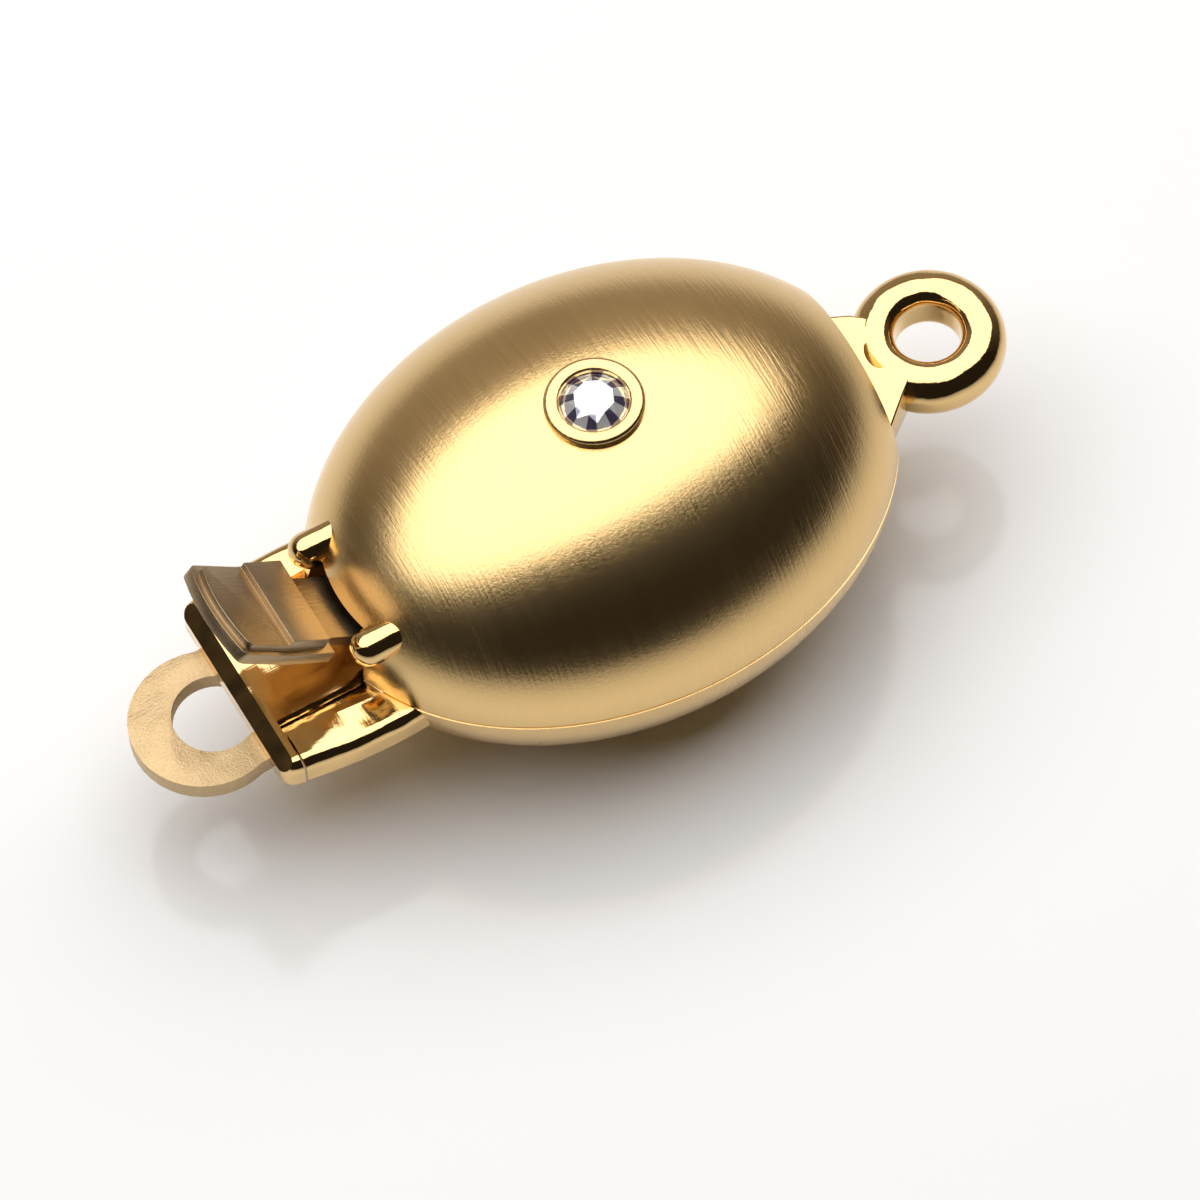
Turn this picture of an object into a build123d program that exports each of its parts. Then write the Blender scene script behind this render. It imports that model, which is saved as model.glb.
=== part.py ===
from build123d import *

import os
from math import atan2, cos, sin, sqrt

# Oval box clasp for a necklace or bracelet, in millimetres.
# +X points to the fixed ring, +Z to the stone. The origin lies under the middle of
# the clasp's length, at the height of the body's lowest point.

# Egg-shaped body of two soldered half shells, cut flat behind the ring
body_length = 11.2
body_width = 8.6
body_height = 6.6
shell_wall = 0.5
end_inset = 0.6
seam_width = 0.08
seam_depth = 0.05

# Round-cut stone
stone_diameter = 1.3
table_diameter = 0.74
crown_height = 0.2
girdle_height = 0.05
pavilion_depth = 0.54
culet_diameter = 0.06
stone_sides = 16

# Bezel tube that holds the stone
bezel_diameter = 1.8
bezel_stand = 0.15
bezel_lip = 0.07
bezel_lip_height = 0.09
bezel_rounding = 0.08
bezel_bore_share = 0.55
stone_gap = 0.03
lip_gap = 0.05

# Fixed ring, and its neck with a top that falls towards the body
ring_radius = 1.42
ring_hole_radius = 0.6
ring_height = 1.0
ring_outer_rounding = 0.45
ring_inner_rounding = 0.3
ring_offset = 1.14
ring_drop = 0.2
neck_root_width = 3.4
neck_end_width = 1.5
neck_overlap = 0.63
neck_step = 0.03
neck_slope_length = 0.65
neck_fall = 0.4

# Open collar at the other end; its front is the tongue's plate
collar_reach = 1.94
collar_front_width = 3.94
collar_root_width = 4.34
collar_root_inset = 0.9
collar_top = 0.0
collar_depth = 0.6
collar_wall = 0.66
collar_floor = 0.24
collar_bow = 0.11
collar_corner = 0.3
collar_rounding = 0.25

# Opening in the body, with a round-ended stud beside each upper corner
opening_width = 2.1
opening_top = 1.12
opening_rounding = 0.25
stud_radius = 0.34
stud_spacing = 2.3
stud_height = 1.15
stud_stand = 0.6

# Channel inside the body
channel_wall = 0.22
channel_rise = 0.3
channel_length = 3.0

# Tongue: front plate, base leaf with the fold, and washer-like loop
slide_gap = 0.04
side_gap = 0.06
plate_thickness = 0.38
base_thickness = 0.24
fold_inset = 4.3
fold_slope = 1.7
loop_radius = 1.38
loop_neck_width = 2.6
loop_hole_radius = 0.77
loop_offset = 0.57
loop_hole_offset = 0.38
loop_thickness = 0.38

# Spring leaf with the thumb piece
knuckle_radius = 0.16
hinge_gap = 0.03
leaf_width = 1.4
leaf_thickness = 0.22
leaf_rise = 0.5
bend_inset = 0.44
thumb_root_share = 0.49
kink_reach = 1.2
kink_rise = 1.73
thumb_reach = 2.15
thumb_rise = 2.63
thumb_bulge = 0.18
thumb_width = 2.1
thumb_thickness = 0.24
thumb_rounding = 0.16
grip_width = 1.86
grip_margin = 0.12
grip_root_share = 0.58
grip_step = 0.12

half_length = body_length / 2
half_width = body_width / 2
half_height = body_height / 2


def skin_end(y, z, depth=0.0):
    """Distance along X from the body's middle to a depth below its skin."""
    share_y = y / (half_width - depth)
    share_z = z / (half_height - depth)
    return (half_length - depth) * sqrt(1 - share_y**2 - share_z**2)


# Heights over the body's middle, and distances from it towards the collar
plate_bottom = -collar_depth
collar_bottom = plate_bottom + slide_gap
floor_top = collar_bottom + collar_floor
base_bottom = floor_top + slide_gap
base_top = base_bottom + base_thickness
plate_front = half_length + collar_reach
plate_back = plate_front - plate_thickness
collar_front = plate_back - slide_gap
collar_root = half_length - collar_root_inset
fold_inner_radius = knuckle_radius + hinge_gap
fold_outer_radius = fold_inner_radius + base_thickness
fold_width = 2 * fold_outer_radius
hinge_reach = half_length - fold_inset
hinge_height = base_top + fold_inner_radius
channel_end = half_length - channel_length
loop_middle = plate_front + loop_offset
loop_hole_middle = plate_front + loop_hole_offset

# Distances from the body's middle towards the fixed ring
ring_middle = half_length + ring_offset
end_reach = half_length - end_inset
neck_root = end_reach - shell_wall / 2
neck_end = ring_middle - ring_radius + neck_overlap
neck_ridge = end_reach + neck_slope_length
neck_bottom = neck_step - ring_drop - ring_height / 2
neck_top = ring_height / 2 - ring_drop - neck_step

# Heights of the stone and its seat over the body's middle
bezel_top = half_height + bezel_stand
bezel_root = half_height - shell_wall
girdle_top = bezel_top - bezel_lip_height - lip_gap
girdle_bottom = girdle_top - girdle_height
seat_radius = stone_diameter / 2 + stone_gap
bezel_bore_radius = seat_radius * bezel_bore_share
seat_depth = pavilion_depth * (1 - bezel_bore_share)

# Planes through the body's middle: level, lengthwise, and facing each end
middle_x = (loop_middle + loop_radius - ring_middle - ring_radius) / 2
middle = (middle_x, 0, half_height)
level = Plane(origin=middle)
lengthwise = Plane(origin=middle, x_dir=(-1, 0, 0), z_dir=(0, 1, 0))
endwise = Plane(origin=middle, x_dir=(0, -1, 0), z_dir=(-1, 0, 0))
flat_end = Plane(origin=(end_reach, 0, 0), z_dir=(1, 0, 0))
ring_axis = Axis((middle_x + ring_middle, 0, 0), (0, 0, 1))
stone_axis = Axis(middle, (0, 0, 1))


def collar_half(reach):
    """Half of the collar's outer width at a distance from the body's middle."""
    share = (plate_front - reach) / (plate_front - collar_root)
    return (collar_front_width + (collar_root_width - collar_front_width) * share) / 2


def collar_side(side, stand=0.0):
    """Ends of one side of the collar's plan, from its front to its root."""
    return [
        (-plate_front, side * (collar_half(plate_front) + stand)),
        (-collar_root, side * (collar_half(collar_root) + stand)),
    ]


def band(line, low, high):
    """Outline of a band along a bent line, between two distances square to it."""
    turns = [atan2(b[1] - a[1], b[0] - a[0]) for a, b in zip(line, line[1:])]
    before = turns[:1] + turns
    after = turns + turns[-1:]
    edges = []
    for distance in (low, high):
        edge = []
        for (x, z), turn, next_turn in zip(line, before, after):
            slope = (turn + next_turn) / 2
            square = distance / cos((next_turn - turn) / 2)
            edge.append((x - square * sin(slope), z + square * cos(slope)))
        edges.append(edge)
    return edges[0] + edges[1][::-1]


def front_outline(width, margin):
    """Straight sides of the thumb piece's plan, seen square to its front."""
    corner = -thumb_bulge - margin
    root = corner - half_length
    return [(corner, -width / 2), (root, -width / 2), (root, width / 2), (corner, width / 2)]


def front_arc(width, margin):
    """Three points of the bulging front of the thumb piece's plan."""
    corner = -thumb_bulge - margin
    return [(corner, width / 2), (-margin, 0), (corner, -width / 2)]


def between(start, end, share):
    """Point at a share of the way between two points."""
    return tuple(a + (b - a) * share for a, b in zip(start, end))


# Centre line of the spring leaf, as distances towards the collar and heights
hinge = (hinge_reach, hinge_height)
bend = (half_length - bend_inset, hinge_height + leaf_rise)
kink = (half_length + kink_reach, hinge_height + kink_rise)
thumb_end = (half_length + thumb_reach, hinge_height + thumb_rise)
leaf_line = [hinge, bend, kink]
thumb_line = [between(bend, kink, thumb_root_share), kink, thumb_end]
grip_line = [between(bend, kink, grip_root_share), kink, thumb_end]
thumb_turn = atan2(thumb_rise - kink_rise, thumb_reach - kink_reach)
thumb_plane = Plane(
    origin=(middle_x - thumb_end[0], 0, half_height + thumb_end[1]),
    x_dir=(-cos(thumb_turn), 0, sin(thumb_turn)),
    z_dir=(sin(thumb_turn), 0, cos(thumb_turn)),
)

os.makedirs("parts", exist_ok=True)

# Outer form of the body
with BuildPart() as egg:
    Sphere(radius=1, rotation=(0, -90, 0))
    scale(by=(half_length, half_width, half_height))
    split(bisect_by=flat_end, keep=Keep.BOTTOM)

# Inner form of the body
with BuildPart() as hollow:
    Sphere(radius=1, rotation=(0, -90, 0))
    scale(by=(half_length - shell_wall, half_width - shell_wall, half_height - shell_wall))
    split(bisect_by=flat_end.offset(-shell_wall), keep=Keep.BOTTOM)

# Outer form of the collar and the plate, bowed in plan, with rounded upper edges
with BuildPart() as collar_form:
    with BuildSketch(level.offset(plate_bottom)):
        with BuildLine():
            bow = (plate_front + collar_root) / 2
            near_front, near_root = collar_side(-1)
            far_front, far_root = collar_side(1)
            ThreePointArc(near_front, (-bow, -collar_half(bow) - collar_bow), near_root)
            Line(near_root, far_root)
            ThreePointArc(far_root, (-bow, collar_half(bow) + collar_bow), far_front)
            Line(far_front, near_front)
        make_face()
        fillet(vertices().sort_by(Axis.X)[:2], collar_corner)
    extrude(amount=collar_top - plate_bottom)
    top_edges = collar_form.faces().sort_by(Axis.Z)[-1].edges()
    fillet(top_edges.sort_by(Axis.X)[:-1], collar_rounding)

# Collar with its recess, open at the front and at the top
with BuildPart() as collar:
    add(collar_form.part)
    with BuildSketch(lengthwise):
        with BuildLine():
            Polyline(
                (collar_root, collar_bottom),
                (collar_front, collar_bottom),
                (collar_front, collar_top),
                (collar_root, collar_top),
                close=True,
            )
        make_face()
    extrude(amount=half_width, both=True, mode=Mode.INTERSECT)
    with BuildSketch(level.offset(floor_top)):
        with BuildLine():
            near_wall = collar_side(-1, -collar_wall)
            far_wall = collar_side(1, -collar_wall)
            Polyline(*near_wall, *far_wall[::-1], close=True)
        make_face()
    extrude(amount=half_height, mode=Mode.SUBTRACT)
    with Locations(level):
        add(hollow.part, mode=Mode.SUBTRACT)

# Neck of the ring
with BuildPart() as neck:
    with BuildSketch(level.offset(neck_bottom)):
        with BuildLine():
            Polyline(
                (neck_root, -neck_root_width / 2),
                (neck_end, -neck_end_width / 2),
                (neck_end, neck_end_width / 2),
                (neck_root, neck_root_width / 2),
                close=True,
            )
        make_face()
    extrude(amount=neck_top - neck_bottom)
    with BuildSketch(lengthwise):
        with BuildLine():
            Polyline(
                (-neck_root, neck_bottom),
                (-neck_end, neck_bottom),
                (-neck_end, neck_top),
                (-neck_ridge, neck_top),
                (-neck_root, neck_top - neck_fall),
                close=True,
            )
        make_face()
    extrude(amount=half_width, both=True, mode=Mode.INTERSECT)

# Case: body, bezel, ring with its neck, collar, studs and channel, all soldered
with BuildPart() as case:
    with Locations(level):
        add(egg.part)
        add(hollow.part, mode=Mode.SUBTRACT)
    # Groove along the seam of the half shells
    with BuildSketch(level.offset(-seam_width / 2)):
        Ellipse(half_length * 2, half_width * 2)
        Ellipse(half_length - seam_depth, half_width - seam_depth, mode=Mode.SUBTRACT)
    extrude(amount=seam_width, mode=Mode.SUBTRACT)
    # Ring with rounded edges
    with BuildSketch(lengthwise):
        with Locations((-ring_middle - (ring_radius + ring_hole_radius) / 2, -ring_drop)):
            Rectangle(ring_radius - ring_hole_radius, ring_height)
        fillet(vertices().sort_by(Axis.X)[:2], ring_outer_rounding)
        fillet(vertices().sort_by(Axis.X)[-2:], ring_inner_rounding)
    revolve(axis=ring_axis)
    add(neck.part)
    add(collar.part)
    # Channel in which the tongue slides
    with BuildSketch(endwise.offset(channel_end)):
        with Locations((0, collar_bottom + (collar_floor + channel_rise) / 2)):
            Rectangle(opening_width + 2 * channel_wall, collar_floor + channel_rise)
    extrude(amount=skin_end(0, collar_bottom, shell_wall / 2) - channel_end)
    # Opening through the body's end
    with BuildSketch(endwise.offset(channel_end)):
        with Locations((0, (floor_top + opening_top) / 2)):
            RectangleRounded(opening_width, opening_top - floor_top, opening_rounding)
        with Locations((0, floor_top + opening_rounding)):
            Rectangle(opening_width, 2 * opening_rounding)
    extrude(amount=plate_front - channel_end, mode=Mode.SUBTRACT)
    # Bezel
    with BuildSketch(level.offset(bezel_root)):
        Circle(bezel_diameter / 2)
    extrude(amount=bezel_top - bezel_root)
    fillet(case.edges().filter_by(GeomType.CIRCLE).sort_by(Axis.Z)[-1], bezel_rounding)
    # Seat of the stone under the bezel's lip
    with BuildSketch(lengthwise):
        with BuildLine():
            Polyline(
                (0, 0),
                (bezel_bore_radius, 0),
                (bezel_bore_radius, girdle_bottom - stone_gap - seat_depth),
                (seat_radius, girdle_bottom - stone_gap),
                (seat_radius, girdle_top + lip_gap),
                (seat_radius - bezel_lip, girdle_top + lip_gap),
                (seat_radius - bezel_lip, bezel_top + bezel_stand),
                (0, bezel_top + bezel_stand),
                close=True,
            )
        make_face()
    revolve(axis=stone_axis, mode=Mode.SUBTRACT)
    # Studs beside the opening
    for stud_y in (-stud_spacing / 2, stud_spacing / 2):
        stud_end = skin_end(stud_y, stud_height) + stud_stand - stud_radius
        with BuildSketch(endwise.offset(skin_end(stud_y, stud_height, shell_wall / 2))):
            with Locations((stud_y, stud_height)):
                Circle(stud_radius)
        extrude(amount=stud_end - skin_end(stud_y, stud_height, shell_wall / 2))
        with Locations((middle_x - stud_end, stud_y, half_height + stud_height)):
            Sphere(stud_radius)
case.part.label = "case"
export_step(case.part, "parts/case.step")

# Stone
with BuildPart() as stone:
    with BuildSketch(level.offset(girdle_bottom)):
        RegularPolygon(stone_diameter / 2, stone_sides)
    extrude(amount=girdle_height)
    with BuildSketch(level.offset(girdle_top)):
        RegularPolygon(stone_diameter / 2, stone_sides)
    with BuildSketch(level.offset(girdle_top + crown_height)):
        RegularPolygon(table_diameter / 2, stone_sides)
    loft()
    with BuildSketch(level.offset(girdle_bottom)):
        RegularPolygon(stone_diameter / 2, stone_sides)
    with BuildSketch(level.offset(girdle_bottom - pavilion_depth)):
        RegularPolygon(culet_diameter / 2, stone_sides)
    loft()
stone.part.label = "stone"
export_step(stone.part, "parts/stone.step")

# Tongue: front plate, base leaf ending in the open fold, and loop, all soldered
with BuildPart() as tongue:
    add(collar_form.part)
    with BuildSketch(lengthwise):
        with BuildLine():
            Polyline(
                (plate_back, plate_bottom),
                (plate_front, plate_bottom),
                (plate_front, collar_top),
                (plate_back, collar_top),
                close=True,
            )
        make_face()
    extrude(amount=half_width, both=True, mode=Mode.INTERSECT)
    # Base leaf and fold
    with BuildSketch(lengthwise):
        with Locations((hinge_reach, hinge_height)):
            Circle(fold_outer_radius)
        with BuildLine():
            Polyline(
                (hinge_reach, base_bottom),
                (plate_back, base_bottom),
                (plate_back, base_top),
                (hinge_reach, base_top),
                close=True,
            )
        make_face()
        with Locations((hinge_reach, hinge_height)):
            Circle(fold_inner_radius, mode=Mode.SUBTRACT)
        with BuildLine():
            Polyline(
                (hinge_reach, hinge_height),
                (hinge_reach, base_top),
                (hinge_reach + fold_width, base_top),
                (hinge_reach + fold_width, hinge_height + fold_width * fold_slope),
                close=True,
            )
        make_face(mode=Mode.SUBTRACT)
    extrude(amount=opening_width / 2 - side_gap, both=True)
    # Loop
    with BuildSketch(level.offset(plate_bottom - loop_thickness)):
        with Locations((-loop_middle, 0)):
            Circle(loop_radius)
        with Locations((-(loop_middle + plate_back) / 2, 0)):
            Rectangle(loop_middle - plate_back, loop_neck_width)
        with Locations((-loop_hole_middle, 0)):
            Circle(loop_hole_radius, mode=Mode.SUBTRACT)
    extrude(amount=loop_thickness)
tongue.part.label = "tongue"
export_step(tongue.part, "parts/tongue.step")

# Thumb piece with a bulging front
with BuildPart() as thumb:
    with BuildSketch(lengthwise):
        with BuildLine():
            Polyline(*band(thumb_line, -thumb_thickness / 2, thumb_thickness / 2), close=True)
        make_face()
    extrude(amount=thumb_width / 2, both=True)
    with BuildSketch(thumb_plane):
        with BuildLine():
            Polyline(*front_outline(thumb_width, 0))
            ThreePointArc(*front_arc(thumb_width, 0))
        make_face()
        fillet(vertices().sort_by(Axis.X)[-2:], thumb_rounding)
    extrude(amount=half_height, both=True, mode=Mode.INTERSECT)

# Two steps on top of the thumb piece
with BuildPart() as grip:
    with BuildSketch(lengthwise):
        with BuildLine():
            Polyline(*band(grip_line, 0, thumb_thickness / 2 + grip_step), close=True)
        make_face()
        with BuildLine():
            Polyline(*band(grip_line[:2], 0, thumb_thickness / 2 + 2 * grip_step), close=True)
        make_face()
    extrude(amount=grip_width / 2, both=True)
    with BuildSketch(thumb_plane):
        with BuildLine():
            Polyline(*front_outline(grip_width, grip_margin))
            ThreePointArc(*front_arc(grip_width, grip_margin))
        make_face()
        fillet(vertices().sort_by(Axis.X)[-2:], thumb_rounding)
    extrude(amount=half_height, both=True, mode=Mode.INTERSECT)

# Spring leaf: knuckle and rising leaf, with the thumb piece soldered on
with BuildPart() as spring_leaf:
    with BuildSketch(lengthwise):
        with Locations((hinge_reach, hinge_height)):
            Circle(knuckle_radius)
        with BuildLine():
            Polyline(*band(leaf_line, -leaf_thickness / 2, leaf_thickness / 2), close=True)
        make_face()
    extrude(amount=leaf_width / 2, both=True)
    add(thumb.part)
    add(grip.part)
spring_leaf.part.label = "spring_leaf"
export_step(spring_leaf.part, "parts/spring_leaf.step")
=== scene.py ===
import math

import bmesh
import bpy
from bpy.props import FloatProperty, FloatVectorProperty, PointerProperty
from mathutils import Matrix, Vector


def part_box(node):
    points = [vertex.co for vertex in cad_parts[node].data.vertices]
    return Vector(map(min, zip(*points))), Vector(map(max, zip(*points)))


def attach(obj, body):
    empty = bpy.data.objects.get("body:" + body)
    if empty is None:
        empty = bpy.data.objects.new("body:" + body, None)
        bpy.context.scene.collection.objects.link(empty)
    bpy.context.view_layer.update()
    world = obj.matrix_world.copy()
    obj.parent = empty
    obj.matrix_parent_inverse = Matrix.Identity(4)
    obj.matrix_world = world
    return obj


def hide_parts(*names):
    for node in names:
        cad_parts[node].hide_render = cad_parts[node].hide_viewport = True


bl_info = {
    "name": "Oval Box Clasp",
    "version": (1, 0, 0),
    "blender": (4, 5, 0),
    "location": "View3D > Sidebar > Clasp",
    "description": "Builds a gold oval box clasp with its stone, tongue and thumb piece",
    "category": "Add Mesh",
}

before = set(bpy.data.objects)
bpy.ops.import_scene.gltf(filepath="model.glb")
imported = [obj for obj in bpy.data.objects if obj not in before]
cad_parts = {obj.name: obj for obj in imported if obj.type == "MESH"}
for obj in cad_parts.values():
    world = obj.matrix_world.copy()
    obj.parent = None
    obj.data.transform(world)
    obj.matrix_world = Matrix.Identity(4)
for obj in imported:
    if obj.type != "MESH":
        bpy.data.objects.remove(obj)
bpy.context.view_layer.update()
stone_low, stone_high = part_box("stone")
tongue_low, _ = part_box("tongue")

MM = 0.001

# Lengths in metres that count as nothing
SAME_CORNER = 1e-7
ON_PLANE = 1e-8
HAIR = 1e-6
# The same for the egg while its radius is still 1
SAME_POLE = 1e-5
ON_AXIS = 1e-6

# Faces that meet at fewer degrees than this are one flat face
CAD_FLAT = 0.4
CUT_FLAT = 0.5

# Steps of the curves
EGG_STEPS = 160
HOLLOW_STEPS = 64
TURNED_STEPS = 96
STUD_STEPS = 48
BOW_STEPS = 24

# Shares of the seam's width: the belt's half and the slope of the groove's sides
SEAM_BELT = 0.51
SEAM_SLOPE = 0.2
# The hole under the stone, as a share of its seat
SEAT_BORE = 0.55
# The star corners between the table and the girdle, out and up
STAR_OUT = 0.42
STAR_UP = 0.66
# The girdle's corners, and the lower corners of the pavilion, out and down
GIRDLE_OUT = 0.999
LOWER_OUT = 0.2
LOWER_DOWN = 0.83
# The thumb piece's roundings beside those of the tongue
THUMB_EDGE = 0.6

# Patterns per metre in the brushed gold
SHORT_STROKES = 700
LONG_STROKES = 400
PATCHES = 260.0
GRAIN = 16000.0
# In the polished gold, with the turns of its two sets of hairlines
ACROSS_HAIRLINES = 22000
ALONG_HAIRLINES = 2600
ONE_WAY = (0.3, 0.2, 0.7)
OTHER_WAY = (0.1, 0.4, 0.3)
WAVES = 1500.0
GRIT = 24000.0
SMEARS = 900.0
# In the thumb piece
ACROSS_SCRATCHES = 26000
ALONG_SCRATCHES = 3000
THUMB_GRIT = 20000.0
WEAR = 1400.0
# In the stone, with its painted fire, and the floor
POLISH_LINES = 4000.0
PAINTED_FIRE = 4200.0
HAZE = 60.0

# Height over which the loop's frost ends
FROST_EDGE = 0.01 * MM
# The stone's painted dark reflections, in wedges round its table, and where they begin and are
# darkest in its table
PAINTED_REFLECTION_WEDGES = 8.0
PAINTED_DARK_FROM = 0.42
PAINTED_DARKEST_AT = 0.5
DIAMOND_IOR = 2.42
ACRYLIC_IOR = 1.5

# The stage: a large white floor and one oval softbox over it
FLOOR_HALF = 0.6
LAMP_PLACE = (0.0, 0.082, 0.2)
LAMP_AIM = (0.0, 0.082, 0.0)
LAMP_WIDE = 0.57
LAMP_TALL = 0.31
LAMP_POWER = 0.96
LAMP_COLOUR = (1.0, 0.99, 0.985)
# The dim room, from the near side to the far and right side
ROOM = [
    (0.5, (0.018, 0.015, 0.012, 1.0)),
    (0.72, (0.1, 0.08, 0.06, 1.0)),
    (0.9, (0.3, 0.26, 0.22, 1.0)),
]
ROOM_DEPTH = 0.42
ROOM_SIDE = 0.14
# The camera, fitted to the egg, the ring and the loop in the photo
FOCAL_LENGTH = 253.68
SENSOR = 36.0
CAMERA_NEAR = 0.001
CAMERA_FAR = 10.0
CAMERA_RIGHT = (0.87111, -0.48933, -0.04162)
CAMERA_BACK = (-0.21438, -0.45513, 0.86424)
CAMERA_PLACE = (-0.032528, -0.070035, 0.132907)


def length(name, description, millimetres):
    """A size in metres that the sidebar shows."""
    return FloatProperty(
        name=name,
        description=description,
        default=millimetres * MM,
        min=0.0,
        unit="LENGTH",
        subtype="DISTANCE",
        precision=5,
    )


def tint(name, description, colour):
    """A colour that the sidebar shows."""
    return FloatVectorProperty(
        name=name,
        description=description,
        default=colour,
        min=0.0,
        max=1.0,
        size=3,
        subtype="COLOR",
    )


def share(name, description, value):
    """A number from 0 to 1 that the sidebar shows."""
    return FloatProperty(
        name=name, description=description, default=value, min=0.0, max=1.0, subtype="FACTOR"
    )


class ClaspBody(bpy.types.PropertyGroup):
    """Egg-shaped body of two half shells."""

    length: length("Length", "Length of the egg", 11.2)
    width: length("Width", "Width of the egg", 8.6)
    height: length("Height", "Height of the egg", 6.6)
    wall: length("Wall", "Thickness of the shell", 0.5)
    end_inset: length("End inset", "Flat end behind the ring, inside the egg's full length", 0.6)
    seam_width: length("Seam width", "Width of the groove between the half shells", 0.08)
    seam_depth: length("Seam depth", "Depth of the groove between the half shells", 0.05)
    opening_width: length("Opening width", "Width of the opening for the tongue", 2.1)
    opening_top: length("Opening top", "Top of the opening over the body's middle", 1.12)
    opening_rounding: length("Opening rounding", "Radius of the opening's upper corners", 0.25)
    floor_drop: length("Floor drop", "Collar's floor under the body's middle", 0.32)


class ClaspRing(bpy.types.PropertyGroup):
    """Fixed ring and its neck."""

    radius: length("Radius", "Outer radius of the ring", 1.42)
    hole: length("Hole", "Radius of the ring's hole", 0.6)
    height: length("Height", "Height of the ring", 1.0)
    rounding: length("Outer rounding", "Radius of the ring's outer edges", 0.45)
    inner_rounding: length("Inner rounding", "Radius of the edges at the hole", 0.3)
    offset: length("Offset", "Ring's middle beyond the egg's end", 1.14)
    drop: length("Drop", "Ring's middle under the body's middle", 0.2)
    neck_root: length("Neck root", "Width of the neck inside the egg's flat end", 3.4)
    neck_end: length("Neck end", "Width of the neck inside the ring", 1.5)
    neck_overlap: length("Neck overlap", "Neck's end inside the ring's outer edge", 0.63)
    neck_step: length("Neck step", "Neck's faces inside the ring's top and foot", 0.03)
    neck_slope: length("Neck slope", "Length of the neck's sloping top", 0.65)
    neck_fall: length("Neck fall", "Fall of the sloping top towards the egg", 0.4)
    neck_edge: length("Neck edge", "Rounding of the neck's edges", 0.06)


class ClaspBezel(bpy.types.PropertyGroup):
    """Bezel tube round the stone."""

    diameter: length("Diameter", "Outer diameter of the bezel", 1.8)
    stand: length("Stand", "Height of the bezel over the egg's top", 0.15)
    lip: length("Lip", "Width of the lip over the stone's edge", 0.07)
    rounding: length("Rounding", "Radius of the bezel's upper edges", 0.14)
    gap: length("Gap", "Gap round the stone's girdle", 0.03)
    lip_gap: length("Lip gap", "Gap between the girdle and the lip", 0.05)
    lip_height: length("Lip height", "Height of the lip", 0.09)


class ClaspStone(bpy.types.PropertyGroup):
    """Round brilliant."""

    diameter: length("Diameter", "Diameter of the girdle", 1.3)
    table: length("Table", "Diameter of the table", 0.74)
    crown: length("Crown", "Height of the crown", 0.2)
    girdle: length("Girdle", "Height of the girdle", 0.05)
    pavilion: length("Pavilion", "Depth of the pavilion", 0.54)


class ClaspCollar(bpy.types.PropertyGroup):
    """Open collar, and the tongue's front plate that closes it."""

    reach: length("Reach", "Front plate's face beyond the egg's end", 1.94)
    inset: length("Inset", "Collar's root inside the egg's end", 0.9)
    front_width: length("Front width", "Width at the front plate", 3.94)
    root_width: length("Root width", "Width at the root", 4.34)
    bow: length("Bow", "Bulge of each side", 0.11)
    depth: length("Depth", "Collar's foot under the body's middle", 0.6)
    wall: length("Wall", "Thickness of the side walls", 0.66)
    plate: length("Plate", "Thickness of the front plate", 0.38)
    gap: length("Gap", "Gap between the collar and the front plate", 0.04)
    slope: length("Slope", "Width of the slope on the plate's upper front edge", 0.26)
    loop: length("Loop", "Thickness of the loop", 0.38)
    corner: length("Corner", "Radius of the front corners in plan", 0.3)
    rounding: length("Rounding", "Radius of the upper edges", 0.25)
    edge: length("Edge", "Rounding of the tongue's edges", 0.045)


class ClaspStuds(bpy.types.PropertyGroup):
    """Round-ended studs over the collar."""

    radius: length("Radius", "Radius of a stud", 0.34)
    spacing: length("Spacing", "Distance between the studs", 2.3)
    height: length("Height", "Studs over the body's middle", 1.15)
    stand: length("Stand", "Length of a stud outside the egg", 0.6)


class ClaspFinish(bpy.types.PropertyGroup):
    """Colours and polish of the gold and the stone."""

    gold: tint("Gold", "Colour of the polished gold", (0.86, 0.6, 0.27))
    satin_gold: tint("Satin gold", "Colour of the brushed gold", (0.86, 0.6, 0.27))
    satin: share("Satin", "Roughness of the brushed gold", 0.2)
    polish: share("Polish", "Roughness of the polished gold", 0.06)
    frost: share("Frost", "Roughness of the loop's face", 0.42)
    # The loop's frosted colour: partly the frosted finish, partly painted shade darker than the
    # gold
    frost_and_shade_gold: tint("Frosted gold", "Colour of the loop's face", (0.7, 0.51, 0.28))
    thumb: share("Thumb", "Roughness of the thumb piece", 0.34)
    # The thumb piece's colour is the gold darkened as painted shade
    shaded_thumb_gold: tint("Thumb gold", "Colour of the thumb piece", (0.46, 0.335, 0.2))
    stroke: length("Stroke", "Pitch of the brush strokes", 0.05)
    stroke_depth: length("Stroke depth", "Depth of the brush strokes", 0.006)
    calm_from: length("Calm from", "Where the strokes begin to fade, from the middle", 3.2)
    calm_to: length("Calm to", "Where the strokes are faint, from the middle", 4.8)
    calm: share("Calm", "Strength of the strokes at the egg's ends", 0.25)
    wave_depth: length("Wave depth", "Depth of the waves in the polished gold", 0.05)
    scratch_depth: length("Scratch depth", "Depth of the thumb piece's scratches", 0.006)
    stone: tint("Stone", "Tint of the stone", (0.97, 0.97, 1.0))
    # Painted dark reflections in the stone's crown facets
    stone_painted_reflection: tint("Dark facets", "Tint of the stone's dark facets", (0.12, 0.1, 0.18))
    floor: tint("Floor", "Colour of the glossy floor", (0.9, 0.9, 0.9))


class Wire:
    """A node's output, on which arithmetic adds Math nodes."""

    def __init__(self, recipe, socket):
        self.recipe = recipe
        self.socket = socket

    def __add__(self, other):
        return self.recipe.work_out("ADD", self, other)

    __radd__ = __add__

    def __mul__(self, other):
        return self.recipe.work_out("MULTIPLY", self, other)

    __rmul__ = __mul__


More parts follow.
